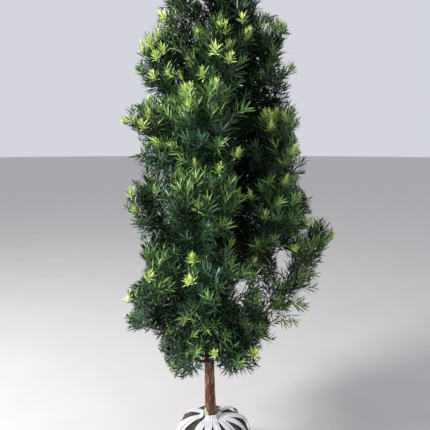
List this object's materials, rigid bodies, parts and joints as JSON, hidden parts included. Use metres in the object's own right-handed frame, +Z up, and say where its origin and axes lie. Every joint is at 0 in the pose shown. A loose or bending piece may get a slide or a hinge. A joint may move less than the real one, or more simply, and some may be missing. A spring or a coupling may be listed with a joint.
{
  "type": "buddhist pine sapling with root ball",
  "caption": "Young buddhist pine tree with a tall leafy crown, standing on its domed root ball tied in pale plastic strips.",
  "frame": {"origin": "centre of the root ball's flat underside, on the surface that it stands on", "axes": "+Z up along the tree, +X to the right in the picture's view, -Y towards the picture's camera"},
  "size_m": [1.0063, 0.9368, 2.4021],
  "materials": {
    "soil": "matte",
    "wrapping": "satin",
    "bark": "matte",
    "foliage": "satin"
  },
  "bodies": {
    "root": {"root_ball": "soil", "strip_1": "wrapping", "strip_2": "wrapping", "strip_3": "wrapping", "strip_4": "wrapping", "strip_5": "wrapping", "strip_6": "wrapping", "strip_7": "wrapping", "strip_8": "wrapping", "strip_9": "wrapping", "strip_10": "wrapping", "tie": "wrapping", "trunk": "bark", "bough_skirt_front_left": "bark", "bough_skirt_front_right": "bark", "bough_skirt_left": "bark", "bough_skirt_back": "bark", "bough_skirt_back_right": "bark", "bough_arm_right": "bark", "bough_low_front": "bark", "bough_low_front_left": "bark", "bough_low_left": "bark", "bough_low_back": "bark", "bough_low_back_right": "bark", "bough_middle_front": "bark", "bough_middle_front_right": "bark", "bough_middle_left": "bark", "bough_middle_back": "bark", "bough_middle_right": "bark", "foliage_skirt_front_left": "foliage", "foliage_skirt_front_right": "foliage", "foliage_skirt_left": "foliage", "foliage_skirt_back": "foliage", "foliage_skirt_back_right": "foliage", "foliage_arm_right": "foliage", "foliage_low_front": "foliage", "foliage_low_front_left": "foliage", "foliage_low_left": "foliage", "foliage_low_back": "foliage", "foliage_low_back_right": "foliage", "foliage_middle_front": "foliage", "foliage_middle_front_right": "foliage", "foliage_middle_left": "foliage", "foliage_middle_back": "foliage", "foliage_middle_right": "foliage", "foliage_upper_front": "foliage", "foliage_upper_front_right": "foliage", "foliage_upper_left": "foliage", "foliage_upper_back": "foliage", "foliage_upper_back_right": "foliage", "foliage_high_front": "foliage", "foliage_high_left": "foliage", "foliage_high_back": "foliage", "foliage_high_right": "foliage", "foliage_top_left": "foliage", "foliage_top_back_right": "foliage", "foliage_top_front_right": "foliage", "foliage_leader": "foliage"}
  },
  "joints": []
}
